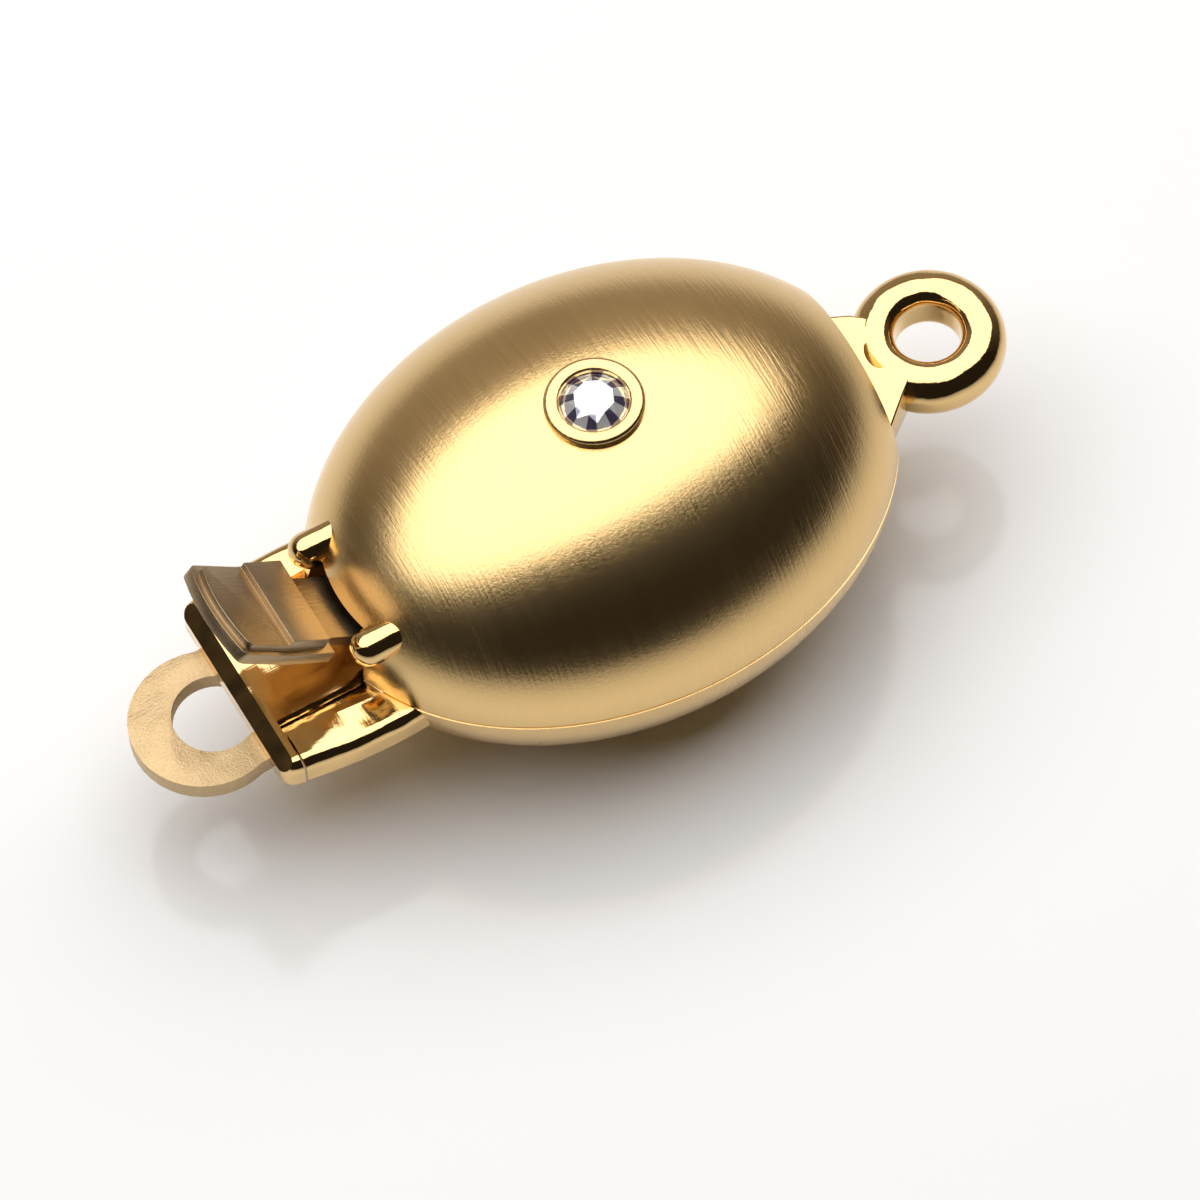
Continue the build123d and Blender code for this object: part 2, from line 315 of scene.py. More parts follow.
class Recipe:
    """The nodes of a material or of the surroundings."""

    def __init__(self, owner):
        owner.use_nodes = True
        self.tree = owner.node_tree
        self.tree.nodes.clear()

    def node(self, kind, settings, sockets, output=0):
        """Adds a node, sets it, fills its sockets and gives one of its outputs."""
        made = self.tree.nodes.new("ShaderNode" + kind)
        for key, value in settings.items():
            if key == "stops":
                while len(made.color_ramp.elements) < len(value):
                    made.color_ramp.elements.new(1.0)
                for element, (place, colour) in zip(made.color_ramp.elements, value):
                    element.position = place
                    element.color = colour
            else:
                setattr(made, key, value)
        for key, value in sockets.items():
            if isinstance(value, Wire):
                self.tree.links.new(value.socket, made.inputs[key])
            else:
                made.inputs[key].default_value = value
        return Wire(self, made.outputs[output]) if made.outputs else made

    def work_out(self, operation, first, second=0.0):
        """The result of a sum on one or two numbers."""
        return self.node("Math", {"operation": operation}, {0: first, 1: second})

    def noise(self, point, scale=1.0, detail=2.0, roughness=0.5):
        """A noise from 0 to 1."""
        sockets = {"Vector": point, "Scale": scale, "Detail": detail, "Roughness": roughness}
        return self.node("TexNoise", {}, sockets)

    def object_point(self, scale=(1, 1, 1), place=(0, 0, 0), turn=(0, 0, 0)):
        """The point on the piece, moved, turned and stretched."""
        point = self.node("TexCoord", {}, {}, "Object")
        sockets = {"Vector": point, "Location": place, "Rotation": turn, "Scale": scale}
        return self.node("Mapping", {}, sockets)

    def part_of(self, point, axis):
        """One of a point's three numbers."""
        return self.node("SeparateXYZ", {}, {"Vector": point}, axis)

    def fade(self, value, start, end, at_start, at_end, curve="LINEAR"):
        """Goes from one number to another while a value crosses a range."""
        return self.node(
            "MapRange",
            {"interpolation_type": curve},
            {"Value": value, 1: start, 2: end, 3: at_start, 4: at_end},
        )

    def blend_colour(self, factor, first, second):
        """A colour between two colours."""
        return self.node("Mix", {"data_type": "RGBA"}, {0: factor, 6: first, 7: second}, 2)

    def relief(self, height, depth):
        """A normal that follows a height."""
        return self.node("Bump", {}, {"Strength": 1.0, "Distance": depth, "Height": height})

    def surface(self, sockets):
        """The surface itself, which ends the recipe."""
        shader = self.node("BsdfPrincipled", {}, sockets)
        self.node("OutputMaterial", {}, {"Surface": shader})


def toned(colour, factor=1.0):
    """A colour made darker or lighter, with full cover."""
    return (*(min(1.0, c * factor) for c in colour), 1.0)


def brushed_gold(finish, middle):
    """Gold brushed crosswise with short satin strokes, calmer towards the egg's ends."""
    recipe = Recipe(bpy.data.materials.new("brushed_gold"))
    across = 1 / finish.stroke
    short_point = recipe.object_point((across, SHORT_STROKES, SHORT_STROKES))
    long_point = recipe.object_point((across / 5, LONG_STROKES, LONG_STROKES))
    short_strokes = recipe.noise(short_point, detail=3.0, roughness=0.65)
    long_strokes = recipe.noise(long_point)
    patches = recipe.noise(recipe.object_point(), PATCHES)
    grain = recipe.noise(recipe.object_point(), GRAIN, roughness=0.6)
    along = recipe.part_of(recipe.object_point(place=(-middle.x, 0, 0)), "X")
    towards_end = recipe.work_out("ABSOLUTE", along)
    calm = recipe.fade(
        towards_end, finish.calm_from, finish.calm_to, 1.0, finish.calm, "SMOOTHSTEP"
    )
    height = (short_strokes + 0.6 * long_strokes) * calm + 0.4 * grain
    tone = 0.65 * short_strokes + 0.35 * patches
    recipe.surface(
        {
            "Base Color": recipe.blend_colour(
                tone, toned(finish.satin_gold, 0.86), toned(finish.satin_gold, 1.06)
            ),
            "Metallic": 1.0,
            "Roughness": finish.satin - 0.06 + 0.12 * patches + 0.1 * short_strokes,
            "Normal": recipe.relief(height, finish.stroke_depth),
        }
    )


def polished_gold(finish, name, frosted_under):
    """Buffed gold with faint waves and hairline scratches, frosted under a height, where a
    darker colour is partly the frosted finish and partly painted shade.
    """
    recipe = Recipe(bpy.data.materials.new(name))
    point = recipe.object_point()
    one_way = (ACROSS_HAIRLINES, ALONG_HAIRLINES, ALONG_HAIRLINES)
    other_way = (ALONG_HAIRLINES, ACROSS_HAIRLINES, ALONG_HAIRLINES)
    hairlines = recipe.noise(recipe.object_point(one_way, turn=ONE_WAY), roughness=0.6)
    crossed = recipe.noise(recipe.object_point(other_way, turn=OTHER_WAY), roughness=0.6)
    waves = recipe.noise(point, WAVES, detail=1.0)
    grit = recipe.noise(point, GRIT, roughness=0.6)
    smears = recipe.noise(point, SMEARS, detail=3.0, roughness=0.6)
    height_here = recipe.part_of(point, "Z")
    frost = recipe.fade(
        height_here, frosted_under - FROST_EDGE, frosted_under, 1.0, 0.0, "SMOOTHSTEP"
    )
    height = waves + 0.03 * hairlines + 0.03 * crossed + 0.2 * frost * grit
    buffed = recipe.blend_colour(smears, toned(finish.gold, 0.9), toned(finish.gold))
    # The frosted colour is darker partly for the frosted finish and partly as painted shade
    frosted = recipe.blend_colour(grit, toned(finish.frost_and_shade_gold, 0.6), toned(finish.frost_and_shade_gold))
    duller = (finish.frost - finish.polish) * frost + 0.08 * smears * smears
    recipe.surface(
        {
            "Base Color": recipe.blend_colour(frost, buffed, frosted),
            "Metallic": 1.0,
            "Roughness": finish.polish + duller,
            "Normal": recipe.relief(height, finish.wave_depth),
        }
    )


def worn_shaded_gold(finish):
    """Gold of the thumb piece, a darker copy of the gold as painted shade, dulled by fingers,
    with fine lengthwise scratches.
    """
    recipe = Recipe(bpy.data.materials.new("worn_shaded_gold"))
    point = recipe.object_point()
    lengthwise = recipe.object_point((ALONG_SCRATCHES, ACROSS_SCRATCHES, ALONG_SCRATCHES))
    scratches = recipe.noise(lengthwise, detail=3.0, roughness=0.6)
    grit = recipe.noise(point, THUMB_GRIT, roughness=0.6)
    wear = recipe.noise(point, WEAR, detail=3.0, roughness=0.6)
    recipe.surface(
        {
            # The thumb piece's dark colour is painted shade; the wear noise varies its tone
            "Base Color": recipe.blend_colour(
                wear, toned(finish.shaded_thumb_gold, 0.8), toned(finish.shaded_thumb_gold, 1.15)
            ),
            "Metallic": 1.0,
            "Roughness": finish.thumb - 0.08 + 0.16 * wear,
            "Normal": recipe.relief(scratches + 0.5 * grit, finish.scratch_depth),
        }
    )


def brilliant(finish, stone, middle):
    """Clear stone that throws the light back, with painted dark reflections in wedges round its
    table and a little painted fire.
    """
    recipe = Recipe(bpy.data.materials.new("brilliant"))
    point = recipe.object_point()
    polish_lines = recipe.noise(point, POLISH_LINES)
    # Painted fire: random coloured cells, mixed into the stone's tint, stand in for its flashes
    # of coloured light
    painted_fire = recipe.node("TexVoronoi", {"feature": "F1"}, {"Vector": point, "Scale": PAINTED_FIRE}, 1)
    centred = recipe.object_point(place=(-middle.x, -middle.y, 0))
    along = recipe.part_of(centred, "X")
    across = recipe.part_of(centred, "Y")
    turn = recipe.work_out("ARCTAN2", across, along)
    distance = recipe.work_out("SQRT", along * along + across * across)
    # The dark wedges are painted reflections of the dark room in the crown facets, from just
    # inside the table's edge outwards
    painted_reflection_wedge = recipe.fade(recipe.work_out("SINE", PAINTED_REFLECTION_WEDGES * turn), 0.0, 0.35, 0.0, 1.0)
    crown = recipe.fade(
        distance, PAINTED_DARK_FROM * stone.table, PAINTED_DARKEST_AT * stone.table, 0.0, 1.0
    )
    clear = recipe.blend_colour(0.12, toned(finish.stone), painted_fire)
    recipe.surface(
        {
            "Base Color": recipe.blend_colour(painted_reflection_wedge * crown, clear, toned(finish.stone_painted_reflection)),
            "Metallic": 0.55,
            "Roughness": 0.02 + 0.02 * polish_lines,
            "IOR": DIAMOND_IOR,
            "Coat Weight": 1.0,
        }
    )


def white_acrylic(finish):
    """White acrylic sheet with a faint haze."""
    recipe = Recipe(bpy.data.materials.new("white_acrylic"))
    haze = recipe.noise(recipe.object_point(), HAZE)
    recipe.surface(
        {
            "Base Color": toned(finish.floor),
            "Roughness": 0.1 + 0.04 * haze,
            "IOR": ACRYLIC_IOR,
        }
    )


def piece_from(name, form, material, body, node, crease=30.0, recalculate=True):
    """Turns a bmesh into a piece that rides on a body and stands for a CAD node."""
    bmesh.ops.remove_doubles(form, verts=form.verts, dist=SAME_CORNER)
    if recalculate:
        bmesh.ops.recalc_face_normals(form, faces=form.faces)
    limit = math.radians(crease)
    for face in form.faces:
        face.smooth = True
    for edge in form.edges:
        edge.smooth = len(edge.link_faces) == 2 and edge.calc_face_angle() < limit
    mesh = bpy.data.meshes.new(name)
    form.to_mesh(mesh)
    form.free()
    mesh.materials.append(bpy.data.materials[material])
    piece = bpy.data.objects.new(name, mesh)
    bpy.context.scene.collection.objects.link(piece)
    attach(piece, body)
    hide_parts(node)
    return piece


def join_flat_faces(form, degrees):
    """Joins faces that meet at hardly any angle."""
    bmesh.ops.dissolve_limit(
        form, angle_limit=math.radians(degrees), verts=form.verts, edges=form.edges
    )


def node_copy(node):
    """The merged form of a CAD node, with its flat faces joined."""
    form = bmesh.new()
    form.from_mesh(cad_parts[node].data)
    bmesh.ops.remove_doubles(form, verts=form.verts, dist=SAME_CORNER)
    join_flat_faces(form, CAD_FLAT)
    return form


def bevel(form, geom, size, segments, affect="EDGES", clamp=False):
    """Rounds some edges or corners of a form."""
    bmesh.ops.bevel(
        form,
        geom=geom,
        offset=size,
        offset_type="OFFSET",
        segments=segments,
        profile=0.5,
        affect=affect,
        clamp_overlap=clamp,
        material=-1,
    )


def round_edges(form, size, segments=3, sharper_than=30.0):
    """Rounds the edges of a form that are sharper than an angle."""
    limit = math.radians(sharper_than)
    edges = [e for e in form.edges if len(e.link_faces) == 2 and e.calc_face_angle() > limit]
    bevel(form, edges, size, segments, clamp=True)


def spin_round(form, middle, steps):
    """Turns an outline right round an upright line through a point."""
    bmesh.ops.spin(
        form,
        geom=form.verts[:] + form.edges[:],
        cent=middle,
        axis=(0, 0, 1),
        angle=2 * math.pi,
        steps=steps,
        use_merge=True,
    )


def tip(form, corners, axis):
    """Turns corners a quarter turn about an axis through the origin."""
    quarter = Matrix.Rotation(math.pi / 2, 3, axis)
    bmesh.ops.rotate(form, verts=corners, cent=(0, 0, 0), matrix=quarter)


def wrap(corners):
    """The form that wraps tightly round some corners."""
    form = bmesh.new()
    for corner in corners:
        form.verts.new(corner)
    bmesh.ops.convex_hull(form, input=form.verts)
    return form


def split(form, place, outwards, drop_outer=False):
    """Cuts the faces of a form along a plane, and drops what lies beyond it if asked."""
    bmesh.ops.bisect_plane(
        form,
        geom=form.verts[:] + form.edges[:] + form.faces[:],
        dist=ON_PLANE,
        plane_co=place,
        plane_no=outwards,
        clear_outer=drop_outer,
    )


def slice_off(form, place, outwards):
    """Cuts off what lies beyond a plane and closes the cut."""
    split(form, place, outwards, drop_outer=True)
    bmesh.ops.holes_fill(form, edges=[e for e in form.edges if e.is_boundary], sides=0)


def join(form, part):
    """Adds a part to a form."""
    mesh = bpy.data.meshes.new("part")
    part.to_mesh(mesh)
    part.free()
    form.from_mesh(mesh)
    bpy.data.meshes.remove(mesh)


def cut(piece, cutter):
    """Takes a form out of a piece."""
    mesh = bpy.data.meshes.new("cutter")
    cutter.to_mesh(mesh)
    cutter.free()
    tool = bpy.data.objects.new("cutter", mesh)
    bpy.context.scene.collection.objects.link(tool)
    carve = piece.modifiers.new("carve", "BOOLEAN")
    carve.operation = "DIFFERENCE"
    carve.solver = "EXACT"
    carve.object = tool
    bpy.context.view_layer.update()
    graph = bpy.context.evaluated_depsgraph_get()
    carved = bpy.data.meshes.new_from_object(piece.evaluated_get(graph))
    piece.modifiers.remove(carve)
    old = piece.data
    piece.data = carved
    carved.name = piece.name
    bpy.data.meshes.remove(old)
    bpy.data.objects.remove(tool)
    bpy.data.meshes.remove(mesh)


def body_middle(clasp):
    """The middle of the egg."""
    return Vector(((stone_low.x + stone_high.x) / 2, 0, clasp.clasp_body.height / 2))


def skin_end(body, y, z, depth=0.0):
    """Distance along X from the egg's middle to a depth under its skin."""
    share_y = y / (body.width / 2 - depth)
    share_z = z / (body.height / 2 - depth)
    return (body.length / 2 - depth) * math.sqrt(1 - share_y**2 - share_z**2)


def egg_form(body, depth, steps):
    """An egg at a depth under the skin, about the origin, with its flat end."""
    form = bmesh.new()
    bmesh.ops.create_circle(form, segments=steps, radius=1.0)
    tip(form, form.verts, "X")
    left = [v for v in form.verts if v.co.x < -ON_AXIS]
    bmesh.ops.delete(form, geom=left, context="VERTS")
    spin_round(form, (0, 0, 0), steps)
    bmesh.ops.remove_doubles(form, verts=form.verts, dist=SAME_POLE)
    halves = (body.length / 2 - depth, body.width / 2 - depth, body.height / 2 - depth)
    bmesh.ops.scale(form, verts=form.verts, vec=halves)
    slice_off(form, (body.length / 2 - body.end_inset - depth, 0, 0), (1, 0, 0))
    bmesh.ops.recalc_face_normals(form, faces=form.faces)
    return form


def sink_seam(form, body):
    """Sinks a groove round the middle of an egg."""
    for side in (-1, 1):
        split(form, (0, 0, side * body.seam_width / 2), (0, 0, 1))
    near = body.seam_width * SEAM_BELT
    belt = [f for f in form.faces if all(abs(v.co.z) < near for v in f.verts)]
    bmesh.ops.inset_region(
        form,
        faces=belt,
        thickness=body.seam_width * SEAM_SLOPE,
        depth=-body.seam_depth,
        use_even_offset=True,
    )


def opening_form(body, middle):
    """The block, rounded along its upper edges, that the tongue's opening takes out."""
    form = bmesh.new()
    bmesh.ops.create_cube(form, size=1.0)
    reach = body.length
    tall = body.opening_top + body.floor_drop
    bmesh.ops.scale(form, verts=form.verts, vec=(reach, body.opening_width, tall))
    upper = [
        e
        for e in form.edges
        if all(v.co.z > 0 for v in e.verts)
        and abs(e.verts[0].co.x - e.verts[1].co.x) > reach / 2
    ]
    bevel(form, upper, body.opening_rounding, segments=6)
    place = (middle.x - reach / 2 - body.wall * 2, 0, middle.z + tall / 2 - body.floor_drop)
    bmesh.ops.translate(form, verts=form.verts, vec=place)
    return form


def neck_form(ring, body, middle, ring_x, ring_z):
    """The neck between the egg's flat end and the ring, with its sloping top."""
    flat_end = middle.x + body.length / 2 - body.end_inset
    root = flat_end - body.wall / 2
    ridge = flat_end + ring.neck_slope
    end = ring_x - ring.radius + ring.neck_overlap
    low = ring_z - ring.height / 2 + ring.neck_step
    top = ring_z + ring.height / 2 - ring.neck_step
    narrowing = (ring.neck_end - ring.neck_root) / (end - root)
    corners = []
    for x, high in ((root, top - ring.neck_fall), (ridge, top), (end, top)):
        half = (ring.neck_root + narrowing * (x - root)) / 2
        corners += [(x, y, z) for y in (-half, half) for z in (low, high)]
    form = wrap(corners)
    join_flat_faces(form, CUT_FLAT)
    round_edges(form, ring.neck_edge, segments=4)
    return form


def collar_sides(clasp, stand=0.0):
    """Corners of the collar's plan, at its front and at its root."""
    collar = clasp.clasp_collar
    end = body_middle(clasp).x - clasp.clasp_body.length / 2
    ahead = end - collar.reach
    behind = end + collar.inset
    return [
        (x, side * (width / 2 + stand))
        for side in (-1, 1)
        for x, width in ((ahead, collar.front_width), (behind, collar.root_width))
    ]


def collar_form(clasp):
    """The bowed form that the collar and the front plate share, with rounded upper edges."""
    collar = clasp.clasp_collar
    middle = body_middle(clasp)
    near_front, near_root, far_front, far_root = (Vector(p) for p in collar_sides(clasp))
    bow = Vector((0, collar.bow))
    form = bmesh.new()
    corners = []
    for start, end, bulge in ((near_root, near_front, -bow), (far_front, far_root, bow)):
        for step in range(BOW_STEPS + 1):
            t = step / BOW_STEPS
            p = start.lerp(end, t) + bulge * (1 - (2 * t - 1) ** 2)
            corners.append(form.verts.new((p.x, p.y, middle.z - collar.depth)))
    form.faces.new(corners)
    front_corners = corners[BOW_STEPS : BOW_STEPS + 2]
    bevel(form, front_corners, collar.corner, segments=10, affect="VERTICES")
    raised = bmesh.ops.extrude_face_region(form, geom=form.faces[:])
    tops = [v for v in raised["geom"] if isinstance(v, bmesh.types.BMVert)]
    bmesh.ops.translate(form, verts=tops, vec=(0, 0, collar.depth))
    bmesh.ops.recalc_face_normals(form, faces=form.faces)
    top = middle.z - HAIR
    root = near_root.x - HAIR
    rims = [
        e
        for e in form.edges
        if all(v.co.z > top for v in e.verts) and any(v.co.x < root for v in e.verts)
    ]
    bevel(form, rims, collar.rounding, segments=10)
    return form


class CLASP_OT_finishes(bpy.types.Operator):
    """Mixes the golds, the stone and the floor"""

    bl_idname = "clasp.finishes"
    bl_label = "Finishes"

    def execute(self, context):
        finish = context.scene.clasp_finish
        middle = body_middle(context.scene)
        loop_top = tongue_low.z + context.scene.clasp_collar.loop + FROST_EDGE
        brushed_gold(finish, middle)
        polished_gold(finish, "buffed_gold", 0.0)
        polished_gold(finish, "tongue_gold", loop_top)
        worn_shaded_gold(finish)
        brilliant(finish, context.scene.clasp_stone, middle)
        white_acrylic(finish)
        return {"FINISHED"}


class CLASP_OT_shell(bpy.types.Operator):
    """Builds the brushed egg with its seam and the opening for the tongue"""

    bl_idname = "clasp.shell"
    bl_label = "Egg"

    def execute(self, context):
        body = context.scene.clasp_body
        middle = body_middle(context.scene)
        outer = egg_form(body, 0.0, EGG_STEPS)
        sink_seam(outer, body)
        inner = egg_form(body, body.wall, HOLLOW_STEPS)
        bmesh.ops.reverse_faces(inner, faces=inner.faces)
        join(outer, inner)
        bmesh.ops.translate(outer, verts=outer.verts, vec=middle)
        piece = piece_from(
            "case_egg", outer, "brushed_gold", "case", "case", recalculate=False
        )
        cut(piece, opening_form(body, middle))
        return {"FINISHED"}


class CLASP_OT_ring(bpy.types.Operator):
    """Builds the fixed ring and its neck"""

    bl_idname = "clasp.ring"
    bl_label = "Ring"

    def execute(self, context):
        ring = context.scene.clasp_ring
        body = context.scene.clasp_body
        middle = body_middle(context.scene)
        ring_x = middle.x + body.length / 2 + ring.offset
        ring_z = middle.z - ring.drop
        form = bmesh.new()
        bmesh.ops.create_grid(form, x_segments=1, y_segments=1, size=0.5)
        tip(form, form.verts, "X")
        bmesh.ops.scale(form, verts=form.verts, vec=(ring.radius - ring.hole, 1, ring.height))
        place = (ring_x + (ring.radius + ring.hole) / 2, 0, ring_z)
        bmesh.ops.translate(form, verts=form.verts, vec=place)
        corners = sorted(form.verts, key=lambda v: v.co.x)
        for ends, rounding in ((corners[:2], ring.inner_rounding), (corners[2:], ring.rounding)):
            bevel(form, ends, rounding, segments=12, affect="VERTICES")
        bmesh.ops.delete(form, geom=form.faces[:], context="FACES_ONLY")
        spin_round(form, (ring_x, 0, 0), TURNED_STEPS)
        bmesh.ops.remove_doubles(form, verts=form.verts, dist=SAME_CORNER)
        join(form, neck_form(ring, body, middle, ring_x, ring_z))
        piece_from("case_ring", form, "buffed_gold", "case", "case", 40.0)
        return {"FINISHED"}


class CLASP_OT_bezel(bpy.types.Operator):
    """Builds the bezel with its seat"""

    bl_idname = "clasp.bezel"
    bl_label = "Bezel"

    def execute(self, context):
        bezel = context.scene.clasp_bezel
        stone = context.scene.clasp_stone
        body = context.scene.clasp_body
        middle = body_middle(context.scene)
        top = middle.z + body.height / 2 + bezel.stand
        root = middle.z + body.height / 2 - body.wall
        girdle_top = top - bezel.lip_height - bezel.lip_gap
        seat_top = girdle_top - stone.girdle - bezel.gap
        seat = stone.diameter / 2 + bezel.gap
        profile = [
            (seat * SEAT_BORE, root),
            (seat * SEAT_BORE, seat_top - stone.pavilion * (1 - SEAT_BORE)),
            (seat, seat_top),
            (seat, girdle_top + bezel.lip_gap),
            (seat - bezel.lip, girdle_top + bezel.lip_gap),
            (seat - bezel.lip, top),
            (bezel.diameter / 2, top),
            (bezel.diameter / 2, root),
        ]
        form = bmesh.new()
        corners = [form.verts.new((middle.x + r, 0, z)) for r, z in profile]
        form.faces.new(corners)
        bevel(form, corners[5:7], bezel.rounding, segments=6, affect="VERTICES", clamp=True)
        bmesh.ops.delete(form, geom=form.faces[:], context="FACES_ONLY")
        spin_round(form, middle, TURNED_STEPS)
        piece_from("case_bezel", form, "brushed_gold", "case", "case", 35.0)
        return {"FINISHED"}


class CLASP_OT_studs(bpy.types.Operator):
    """Builds the two round-ended studs"""

    bl_idname = "clasp.studs"
    bl_label = "Studs"

    def execute(self, context):
        studs = context.scene.clasp_studs
        body = context.scene.clasp_body
        middle = body_middle(context.scene)
        form = bmesh.new()
        for y in (-studs.spacing / 2, studs.spacing / 2):
            ball = skin_end(body, y, studs.height) + studs.stand - studs.radius
            run = ball - skin_end(body, y, studs.height, body.wall / 2)
            made = bmesh.ops.create_uvsphere(
                form, u_segments=STUD_STEPS, v_segments=STUD_STEPS // 2, radius=studs.radius
            )["verts"]
            tip(form, made, "Y")
            rear = [v for v in made if v.co.x > SAME_CORNER]
            bmesh.ops.translate(form, verts=rear, vec=(run, 0, 0))
            place = (middle.x - ball, y, middle.z + studs.height)
            bmesh.ops.translate(form, verts=made, vec=place)
        piece_from("case_studs", form, "buffed_gold", "case", "case")
        return {"FINISHED"}


class CLASP_OT_collar(bpy.types.Operator):
    """Builds the open collar with its floor and its thick bowed walls"""

    bl_idname = "clasp.collar"
    bl_label = "Collar"

    def execute(self, context):
        collar = context.scene.clasp_collar
        body = context.scene.clasp_body
        middle = body_middle(context.scene)
        front = body.length / 2 + collar.reach - collar.plate - collar.gap
        form = collar_form(context.scene)
        slice_off(form, (middle.x - front, 0, 0), (-1, 0, 0))
        slice_off(form, (0, 0, middle.z - collar.depth + collar.gap), (0, 0, -1))
        piece = piece_from("case_collar", form, "buffed_gold", "case", "case")
        floor = middle.z - body.floor_drop
        over = middle.z + collar.depth
        sides = collar_sides(context.scene, -collar.wall)
        cut(piece, wrap([(x, y, z) for x, y in sides for z in (floor, over)]))
        return {"FINISHED"}


class CLASP_OT_stone(bpy.types.Operator):
    """Cuts the round brilliant"""

    bl_idname = "clasp.stone"
    bl_label = "Stone"

    def execute(self, context):
        stone = context.scene.clasp_stone
        bezel = context.scene.clasp_bezel
        body = context.scene.clasp_body
        middle = body_middle(context.scene)
        top = middle.z + body.height / 2 + bezel.stand
        girdle_top = top - bezel.lip_height - bezel.lip_gap
        radius = stone.diameter / 2
        table = stone.table / 2
        # Each ring of corners: count, radius, height over the girdle's top, turn in eighths
        rings = [
            (8, table, stone.crown, 0.0),
            (8, table + (radius - table) * STAR_OUT, stone.crown * STAR_UP, 0.5),
            (16, radius * GIRDLE_OUT, 0.0, 0.0),
            (16, radius * GIRDLE_OUT, -stone.girdle, 0.0),
            (8, radius * LOWER_OUT, -stone.girdle - stone.pavilion * LOWER_DOWN, 0.5),
            (1, 0.0, -stone.girdle - stone.pavilion, 0.0),
        ]
        corners = []
        for count, far, height, turn in rings:
            for step in range(count):
                angle = 2 * math.pi * (step / count + turn / 8)
                x = middle.x + far * math.cos(angle)
                y = middle.y + far * math.sin(angle)
                corners.append((x, y, girdle_top + height))
        form = wrap(corners)
        join_flat_faces(form, CUT_FLAT)
        piece_from("stone_brilliant", form, "brilliant", "case", "stone", 0.0)
        return {"FINISHED"}


class CLASP_OT_tongue(bpy.types.Operator):
    """Finishes the tongue with its front plate and loop"""

    bl_idname = "clasp.tongue"
    bl_label = "Tongue"

    def execute(self, context):
        collar = context.scene.clasp_collar
        body = context.scene.clasp_body
        middle = body_middle(context.scene)
        form = node_copy("tongue")
        round_edges(form, collar.edge)
        piece = piece_from(
            "tongue_plate_and_loop", form, "tongue_gold", "tongue", "tongue", 32.0
        )
        # The flat slope along the plate's upper front edge
        face = middle.x - body.length / 2 - collar.reach
        beyond = collar.slope
        outline = (
            (face - beyond, middle.z - collar.slope - beyond),
            (face + collar.slope + beyond, middle.z + beyond),
            (face - beyond, middle.z + beyond),
        )
        ends = (-collar.root_width, collar.root_width)
        cut(piece, wrap([(x, y, z) for x, z in outline for y in ends]))
        return {"FINISHED"}


class CLASP_OT_thumb(bpy.types.Operator):
    """Finishes the spring leaf with its stepped thumb piece"""

    bl_idname = "clasp.thumb"
    bl_label = "Thumb piece"

    def execute(self, context):
        form = node_copy("spring_leaf")
        round_edges(form, context.scene.clasp_collar.edge * THUMB_EDGE)
        piece_from(
            "thumb_piece", form, "worn_shaded_gold", "spring_leaf", "spring_leaf", 32.0
        )
        return {"FINISHED"}


def lay_floor(scene):
    """A large white sheet at the clasp's lowest point."""
    form = bmesh.new()
    bmesh.ops.create_grid(form, x_segments=1, y_segments=1, size=FLOOR_HALF)
    mesh = bpy.data.meshes.new("floor")
    form.to_mesh(mesh)
    form.free()
    mesh.materials.append(bpy.data.materials["white_acrylic"])
    floor = bpy.data.objects.new("floor", mesh)
    scene.collection.objects.link(floor)


def hang_softbox(scene):
    """An oval lamp over the far side of the clasp."""
    lamp = bpy.data.lights.new("overhead", "AREA")
    lamp.shape = "ELLIPSE"
    lamp.size = LAMP_WIDE
    lamp.size_y = LAMP_TALL
    lamp.energy = LAMP_POWER
    lamp.color = LAMP_COLOUR
    softbox = bpy.data.objects.new("overhead", lamp)
    softbox.location = LAMP_PLACE
    softbox.rotation_mode = "QUATERNION"
    towards = Vector(LAMP_AIM) - Vector(LAMP_PLACE)
    softbox.rotation_quaternion = towards.to_track_quat("-Z", "Y")
    scene.collection.objects.link(softbox)


def dim_room(scene):
    """A dark room round the clasp, lighter on its far and right side."""
    surroundings = bpy.data.worlds.new("studio")
    recipe = Recipe(surroundings)
    towards = recipe.node("TexCoord", {}, {}, "Generated")
    depth = recipe.part_of(towards, "Y")
    side = recipe.part_of(towards, "X")
    walls = recipe.node(
        "ValToRGB", {"stops": ROOM}, {"Fac": 0.5 + ROOM_DEPTH * depth + ROOM_SIDE * side}
    )
    glow = recipe.node("Background", {}, {"Color": walls, "Strength": 1.0})
    recipe.node("OutputWorld", {}, {"Surface": glow})
    scene.world = surroundings


def place_camera(scene):
    """The photo's camera."""
    lens = bpy.data.cameras.new("camera")
    lens.lens = FOCAL_LENGTH
    lens.sensor_width = SENSOR
    lens.clip_start = CAMERA_NEAR
    lens.clip_end = CAMERA_FAR
    camera = bpy.data.objects.new("camera", lens)
    right = Vector(CAMERA_RIGHT)
    back = Vector(CAMERA_BACK)
    turn = Matrix((right, back.cross(right), back)).transposed().to_4x4()
    turn.translation = Vector(CAMERA_PLACE)
    camera.matrix_world = turn
    scene.collection.objects.link(camera)
    scene.camera = camera
    scene.view_settings.view_transform = "Standard"
    scene.view_settings.look = "None"


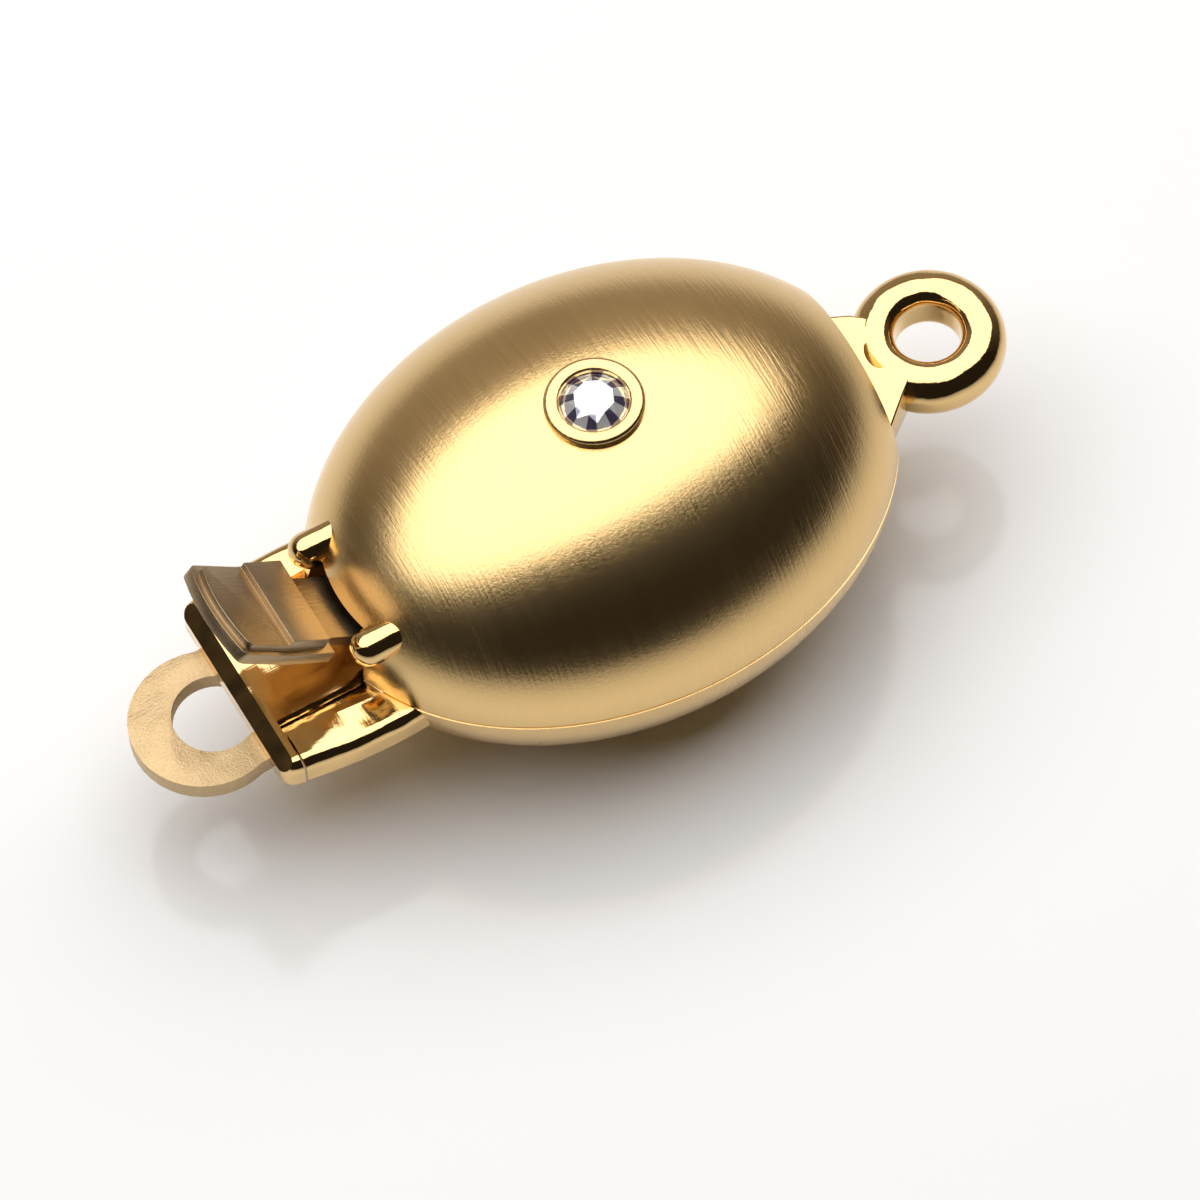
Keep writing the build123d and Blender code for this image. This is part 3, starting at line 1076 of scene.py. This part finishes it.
class CLASP_OT_stage(bpy.types.Operator):
    """Lays the white floor, hangs the softbox and sets the camera"""

    bl_idname = "clasp.stage"
    bl_label = "Stage"

    def execute(self, context):
        lay_floor(context.scene)
        hang_softbox(context.scene)
        dim_room(context.scene)
        place_camera(context.scene)
        return {"FINISHED"}


class CLASP_PT_panel(bpy.types.Panel):
    """Sizes, finishes and pieces of the clasp"""

    bl_idname = "CLASP_PT_panel"
    bl_label = "Oval Box Clasp"
    bl_space_type = "VIEW_3D"
    bl_region_type = "UI"
    bl_category = "Clasp"

    def draw(self, context):
        for name in GROUPS:
            group = getattr(context.scene, name)
            box = self.layout.box()
            for key in group.__annotations__:
                box.prop(group, key)
        for operator in OPERATORS:
            self.layout.operator(operator.bl_idname)


GROUPS = {
    "clasp_body": ClaspBody,
    "clasp_ring": ClaspRing,
    "clasp_bezel": ClaspBezel,
    "clasp_stone": ClaspStone,
    "clasp_collar": ClaspCollar,
    "clasp_studs": ClaspStuds,
    "clasp_finish": ClaspFinish,
}
OPERATORS = (
    CLASP_OT_finishes,
    CLASP_OT_shell,
    CLASP_OT_ring,
    CLASP_OT_bezel,
    CLASP_OT_studs,
    CLASP_OT_collar,
    CLASP_OT_stone,
    CLASP_OT_tongue,
    CLASP_OT_thumb,
    CLASP_OT_stage,
)


def register():
    for made in (*GROUPS.values(), *OPERATORS, CLASP_PT_panel):
        bpy.utils.register_class(made)
    for name, group in GROUPS.items():
        setattr(bpy.types.Scene, name, PointerProperty(type=group))


def unregister():
    for name in GROUPS:
        delattr(bpy.types.Scene, name)
    for made in (CLASP_PT_panel, *reversed(OPERATORS), *reversed(GROUPS.values())):
        bpy.utils.unregister_class(made)


def main():
    register()
    bpy.ops.clasp.finishes()
    bpy.ops.clasp.shell()
    bpy.ops.clasp.ring()
    bpy.ops.clasp.bezel()
    bpy.ops.clasp.studs()
    bpy.ops.clasp.collar()
    bpy.ops.clasp.stone()
    bpy.ops.clasp.tongue()
    bpy.ops.clasp.thumb()
    bpy.ops.clasp.stage()


if __name__ == "__main__":
    main()
